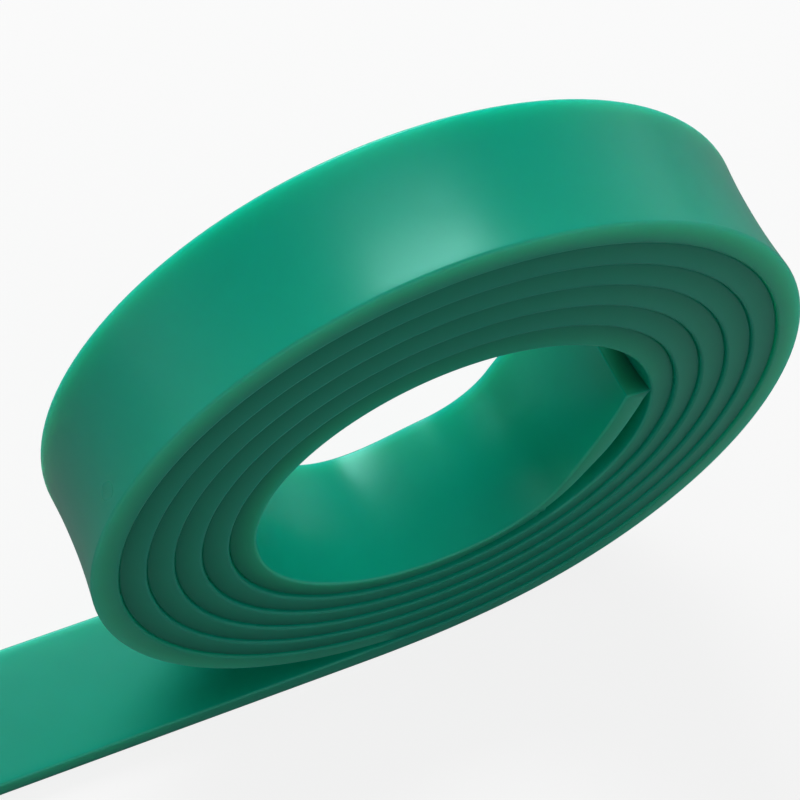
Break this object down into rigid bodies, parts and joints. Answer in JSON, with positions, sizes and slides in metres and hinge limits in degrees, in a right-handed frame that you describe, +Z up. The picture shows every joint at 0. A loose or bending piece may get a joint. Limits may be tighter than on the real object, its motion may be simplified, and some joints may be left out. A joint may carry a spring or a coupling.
{
  "type": "squeegee blade strip roll",
  "caption": "Roll of flat cast polyurethane squeegee strip standing on its rim, wound edge to edge round an open bore, with a loose straight tail lying under it.",
  "frame": {"origin": "on the floor under the roll's axis, in the middle of the strip's width, where the flat tail begins to curl up into the roll", "axes": "+Z up, +Y along the roll's axis from its front end to its back end, +X away from the tail, which lies along -X"},
  "size_m": [0.3555, 0.05, 0.255],
  "materials": {
    "squeegee_strip": "smooth cast green polyurethane elastomer with a satin gloss"
  },
  "bodies": {
    "root": {"squeegee_strip": "squeegee_strip"}
  },
  "joints": []
}
